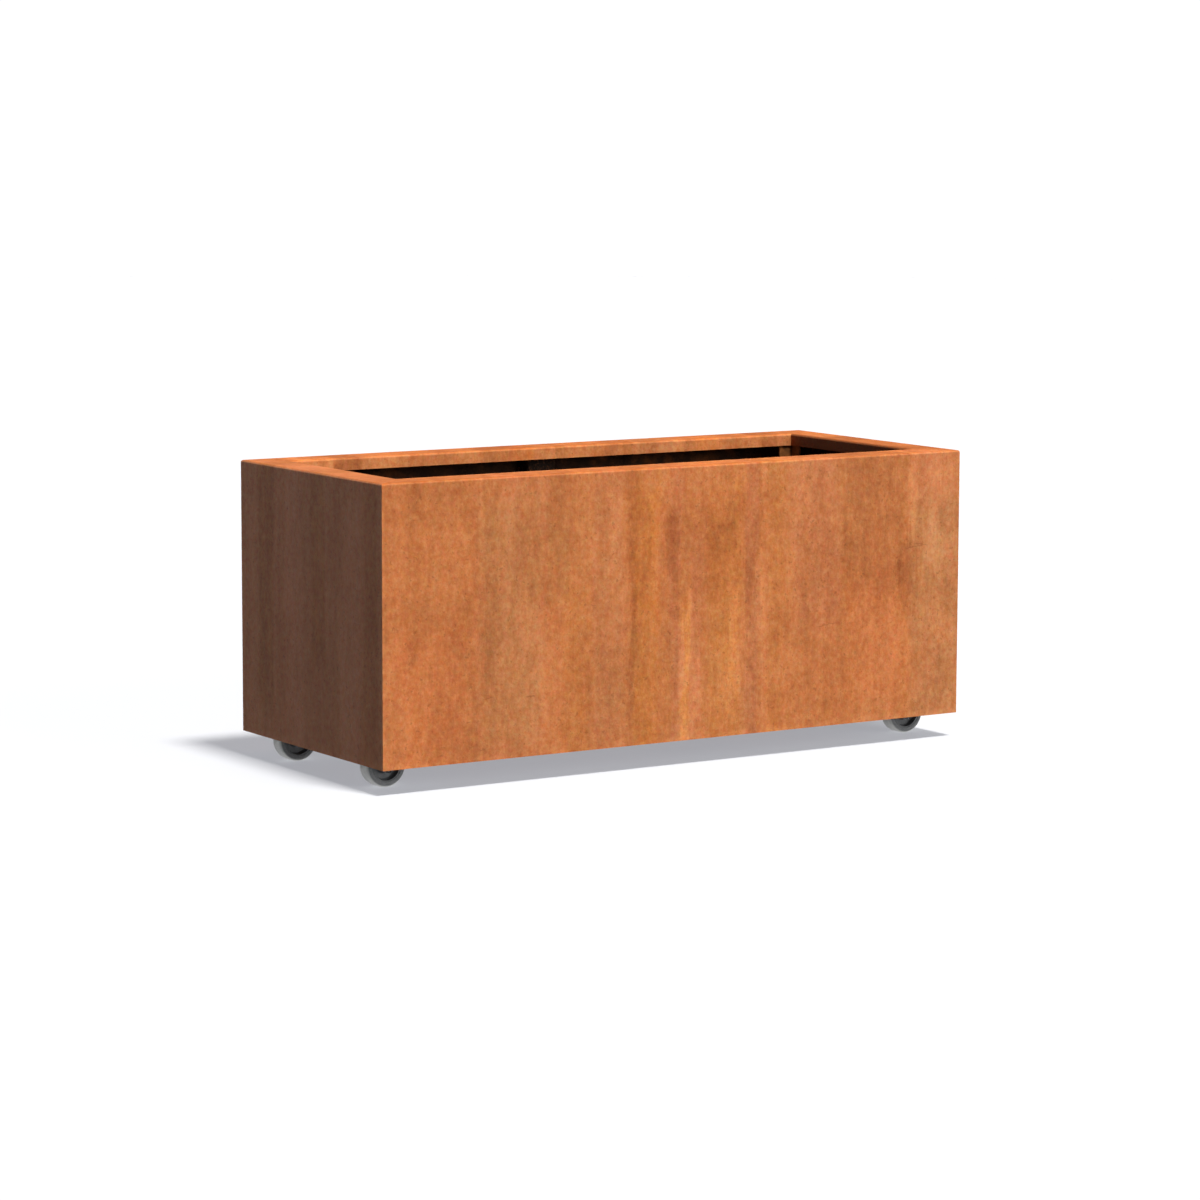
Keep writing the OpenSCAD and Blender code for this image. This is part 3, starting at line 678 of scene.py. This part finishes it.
def plated(name, seed, bright, dull, roughness):
    """Zinc or bare steel with dull patches and worn edges, darker on whatever is low: partly road
    dirt and partly painted shade that dims the floor's bright reflection there.
    """
    look = Finish(name, seed)
    cloud = look.noise(0.012, detail=5.0, roughness=0.65)
    rub = look.noise(0.0016, detail=3.0, roughness=0.6, stretch=(1, 1, 4))
    edges = look.add("ShaderNodeNewGeometry").outputs["Pointiness"]
    colour = look.ramp(cloud, [(0.32, dull), (0.62, bright)])
    colour = look.blend(look.step(edges, 0.52, 0.60, 0.0, 0.6), colour, linear(WORN_EDGE))
    # painted shade and road dirt on the low parts
    low = look.step(look.axes[2], DARKENED_BELOW, UNDARKENED_ABOVE, 1.0, 0.10)
    patches = look.noise(0.006, detail=4.0, roughness=0.7)
    dirt_and_shade = look.times(low, look.step(patches, 0.30, 0.56, 0.45, 0.92))
    colour = look.blend(dirt_and_shade, colour, linear(LOW_DIRT_AND_SHADE))
    rough = look.plus(look.spread(rub, 0.3), look.step(dirt_and_shade, 0.0, 1.0, roughness, 0.85))
    return look.finish(colour, rough, rub, bump_depth=0.0001, bump_strength=0.35, Metallic=0.9)


dress(nodes_named("castor_plate", "_fork", "race_cup"),
      plated("blue_zinc", 100, (138, 150, 160), (94, 104, 114), 0.46))


# ==== Bolts, nuts, kingpins and balls ====
# Hexagon bolts hold the castors from inside the trough, with washers and lock nuts, and a bolt
# through each fork is the axle. They are zinc plated; kingpins, balls and sleeves are bare steel.
dress(["castor_bolts", "bolt_washers", "castor_nuts"] + nodes_named("axle_bolt", "axle_nut"),
      plated("bright_zinc", 110, (152, 158, 164), (106, 114, 122), 0.44))
dress(nodes_named("kingpin", "race_balls", "axle_sleeve"),
      plated("bare_steel", 120, (178, 177, 175), (132, 130, 128), 0.22))


# ==== Lock nuts' rings ====
# Each lock nut has a ring of blue nylon in its collar that grips the thread. It is pressed in at
# the works, and only its outer face shows.

# from bolt to bolt on a castor's plate, along X and along Y
BOLT_SPACING = (0.075, 0.045)
# the radius of a ring on each kind of nut, and that of its round section
PLATE_NUT_RING = 0.00480
AXLE_NUT_RING = 0.00485
RING_WALL = 0.00055
# the turns of a ring whose bolt runs along Z, and along Y
FACING_Z = (0.0, 0.0, 0.0)
FACING_Y = (math.pi / 2, 0.0, 0.0)


def nylon():
    look = Finish("blue_nylon", 130)
    cloud = look.noise(0.002, detail=3.0, roughness=0.6)
    colour = look.ramp(cloud, [(0.35, (34, 62, 110)), (0.65, (52, 86, 142))])
    dull = look.step(cloud, 0.3, 0.7, 0.38, 0.52)
    return look.finish(colour, dull, cloud, bump_depth=0.0001, bump_strength=0.3)


blue_nylon = nylon()


def nylon_rings(name, body, places, radius, facing):
    """A ring round the bolt at each place, turned by the angles facing."""
    rings = Growth(name)
    rings.input("Ring Radius", "NodeSocketFloat", radius)
    rings.input("Ring Wall", "NodeSocketFloat", RING_WALL)
    rings.input("Finish", "NodeSocketMaterial", blue_nylon)
    line = rings.add("GeometryNodeCurvePrimitiveCircle", {"Resolution": 24, "Radius": "Ring Radius"})
    wall = rings.add("GeometryNodeCurvePrimitiveCircle", {"Resolution": 8, "Radius": "Ring Wall"})
    ring = rings.add("GeometryNodeCurveToMesh", {"Curve": line, "Profile Curve": wall})
    ring = rings.add("GeometryNodeSetShadeSmooth", {"Geometry": ring})
    placed = rings.add("GeometryNodeInstanceOnPoints", {"Points": "Guide", "Instance": ring,
                                                        "Rotation": facing})
    points = bpy.data.meshes.new(name)
    points.from_pydata(places, [], [])
    guide = bpy.data.objects.new(name + "_places", points)
    rings.grow(guide, placed, name, body)


def middle(node):
    """The middle of a CAD node's box."""
    low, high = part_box(node)
    return (low + high) / 2


nut_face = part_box("castor_nuts")[0].z
under_plates = []
for plate in nodes_named("castor_plate"):
    for x in (-1, 1):
        for y in (-1, 1):
            bolt = middle(plate) + Vector((x * BOLT_SPACING[0] / 2, y * BOLT_SPACING[1] / 2, 0))
            under_plates.append((bolt.x, bolt.y, nut_face))
nylon_rings("plate_nut_rings", "planter", under_plates, PLATE_NUT_RING, FACING_Z)
for nut in nodes_named("axle_nut"):
    castor = nut.removesuffix("_axle_nut")
    face = middle(nut)
    # the collar is on the side away from the fork
    outer = 1 if face.y > middle(castor + "_fork").y else 0
    face.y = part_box(nut)[outer].y
    nylon_rings(castor + "_axle_nut_ring", castor + "_castor", [tuple(face)], AXLE_NUT_RING, FACING_Y)


# ==== Wheels ====
# The wheel centre is moulded in grey polypropylene, with a dished web between hub and rim. A
# ring of smooth light grey rubber is moulded round it, and picks up dust and scuffs; its tread is
# painted paler than its flanks, partly as scuffs and partly as painted light and painted shade.

# how far in from the wheel's outline the paler tread, partly scuffs and partly painted light, is
# still full, and gone
PALE_TREAD_FULL = 0.0008
PALE_TREAD_GONE = 0.0035


def moulded(look, cloud, colour, dust, dustiness, smooth, dull):
    """Ends a moulded finish: dust in specks on the colour, and a roughness from smooth to dull."""
    specks = look.step(look.noise(0.0024, detail=4.0, roughness=0.65), 0.50, 0.72, 0.0, dustiness)
    colour = look.blend(specks, colour, linear(dust))
    patchy = look.step(cloud, 0.35, 0.65, smooth, dull)
    relief = look.noise(0.0012, detail=3.0, roughness=0.6)
    return look.finish(colour, patchy, relief, bump_depth=0.00012, bump_strength=0.4)


def wheel_plastic():
    look = Finish("grey_polypropylene", 140)
    cloud = look.noise(0.018, detail=5.0, roughness=0.65)
    grey = look.ramp(cloud, [(0.34, (86, 88, 90)), (0.64, (112, 114, 116))])
    return moulded(look, cloud, grey, (158, 150, 140), dustiness=0.25, smooth=0.42, dull=0.58)


def wheel_rubber():
    """Grey rubber: the tread is painted pale, partly scuffs and partly painted light, and the flanks
    darker, partly painted shade.
    """
    look = Finish("light_grey_rubber", 150)
    # the wheels stand on the ground, so their radius is the height of their axles
    low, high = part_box("front_right_axle_sleeve")
    axle = (low + high) / 2
    from_axle = look.minus(look.calc("ABSOLUTE", look.axes[0]), axle.x)
    above_axle = look.minus(look.axes[2], axle.z)
    squares = look.plus(look.times(from_axle, from_axle), look.times(above_axle, above_axle))
    # the paler tread: partly scuffs, partly painted light
    scuffed_and_lit = look.step(look.calc("SQRT", squares), axle.z - PALE_TREAD_GONE, axle.z - PALE_TREAD_FULL)
    cloud = look.noise(0.018, detail=5.0, roughness=0.65)
    # the flanks are painted darker and the tread paler: partly scuffs, partly painted light and painted
    # shade
    flank = look.ramp(cloud, [(0.34, (108, 110, 112)), (0.64, (132, 133, 134))])
    tread = look.ramp(cloud, [(0.34, (196, 197, 196)), (0.64, (216, 216, 214))])
    colour = look.blend(scuffed_and_lit, flank, tread)
    return moulded(look, cloud, colour, (176, 170, 162), dustiness=0.3, smooth=0.56, dull=0.70)


dress(nodes_named("wheel_core"), wheel_plastic())
dress(nodes_named("tyre"), wheel_rubber())


# ==== Studio ====
# A pale floor runs to the horizon under a white dome. A broad key light stands high in front, and
# a weaker fill stands low to the right, so that the left end stays in shade.
STUDIO_RADIUS = 18.0
FLOOR_GREY = (0.40, 0.40, 0.40, 1)
FLOOR_GLOW = (0.90, 0.92, 1.0, 1)
BLACK = (0.0, 0.0, 0.0, 1)
WHITE = (1.0, 1.0, 1.0, 1)


def studio_mesh(name, make, **sizes):
    """A mesh made by one of the shapes in bmesh.ops."""
    mesh = bpy.data.meshes.new(name)
    shape = bmesh.new()
    make(shape, **sizes)
    shape.to_mesh(mesh)
    shape.free()
    return mesh


def disc(name, radius):
    """A level round plate."""
    return studio_mesh(name, bmesh.ops.create_circle, cap_ends=True, segments=128, radius=radius)


def stand(name, mesh, base, glow, strength):
    """Puts a matt piece of the studio in the scene. Its glow shows, but lights no matt surface."""
    look = Finish(name)
    look.surface.inputs["Base Color"].default_value = base
    look.surface.inputs["Roughness"].default_value = 1.0
    look.surface.inputs["Specular IOR Level"].default_value = 0.0
    look.surface.inputs["Emission Color"].default_value = glow
    look.surface.inputs["Emission Strength"].default_value = strength
    mesh.materials.append(look.material)
    piece = bpy.data.objects.new(name, mesh)
    piece.visible_diffuse = False
    bpy.context.scene.collection.objects.link(piece)
    return piece


def turned(direction):
    """The turn that points Z in the direction."""
    return Vector(direction).to_track_quat("Z", "Y")


# the floor throws no shadow, so that the light sent up through it reaches the underside
floor = stand("studio_floor", disc("studio_floor", STUDIO_RADIUS), FLOOR_GREY, FLOOR_GLOW, 0.385)
floor.visible_shadow = False
dome_mesh = studio_mesh("studio_dome", bmesh.ops.create_uvsphere, u_segments=48, v_segments=24,
                        radius=STUDIO_RADIUS)
dome_mesh.flip_normals()
dome = stand("studio_dome", dome_mesh, BLACK, WHITE, 1.05)
dome.visible_glossy = False
dome.visible_shadow = False
dome.visible_transmission = False

# a tall white card behind and to the left shows only as a faint sheen on the left end
CARD_RADIUS = 3.6
CARD_PLACE = (-3.4, 3.0, 1.6)
CARD_FACES = (3.0, -3.2, -1.0)
card_mesh = disc("studio_card", CARD_RADIUS)
card_mesh.transform(Matrix.Translation(CARD_PLACE) @ turned(CARD_FACES).to_matrix().to_4x4())
card = stand("studio_card", card_mesh, BLACK, WHITE, 4.4)
card.visible_camera = False
card.visible_shadow = False
card.visible_transmission = False

world = bpy.data.worlds.new("studio_air")
bpy.context.scene.world = world
world.use_nodes = True
world.node_tree.nodes["Background"].inputs["Color"].default_value = (0.92, 0.96, 1.0, 1)
world.node_tree.nodes["Background"].inputs["Strength"].default_value = 0.120


def sun(name, place, strength, spread):
    """A distant light that stands in the direction place and is spread degrees wide."""
    light = bpy.data.lights.new(name, "SUN")
    light.energy = strength * math.pi
    light.angle = math.radians(spread)
    placed = bpy.data.objects.new(name, light)
    placed.rotation_euler = turned(place).to_euler()
    bpy.context.scene.collection.objects.link(placed)


sun("key", (0.05, -0.38, 1.0), strength=1.54, spread=10.0)
sun("fill", (0.42, -0.88, 0.22), strength=0.50, spread=40.0)
sun("back", (0.50, 0.82, 0.30), strength=0.22, spread=40.0)
sun("bounce", (0.0, 0.0, -1.0), strength=0.38, spread=20.0)

# the camera's place is measured from the front left corner of the skirt's edge
CAMERA_FROM_CORNER = (-3.2066, -5.6633, 1.1265)
YAW, PITCH, ROLL = (math.radians(angle) for angle in (32.689, 7.350, 0.166))
camera_data = bpy.data.cameras.new("camera")
camera_data.sensor_width = 36.0
camera_data.lens = 118.94
camera_data.clip_end = 300.0
camera = bpy.data.objects.new("camera", camera_data)
bpy.context.scene.collection.objects.link(camera)
forward = Vector((math.sin(YAW) * math.cos(PITCH), math.cos(YAW) * math.cos(PITCH), -math.sin(PITCH)))
level = Vector((math.cos(YAW), -math.sin(YAW), 0.0))
above = level.cross(forward)
right = level * math.cos(ROLL) + above * math.sin(ROLL)
up = above * math.cos(ROLL) - level * math.sin(ROLL)
eye = Vector((-half_length, -half_width, skirt_z)) + Vector(CAMERA_FROM_CORNER)
camera.matrix_world = Matrix.Translation(eye) @ Matrix((right, up, -forward)).transposed().to_4x4()
bpy.context.scene.camera = camera
bpy.context.scene.view_settings.view_transform = "Standard"
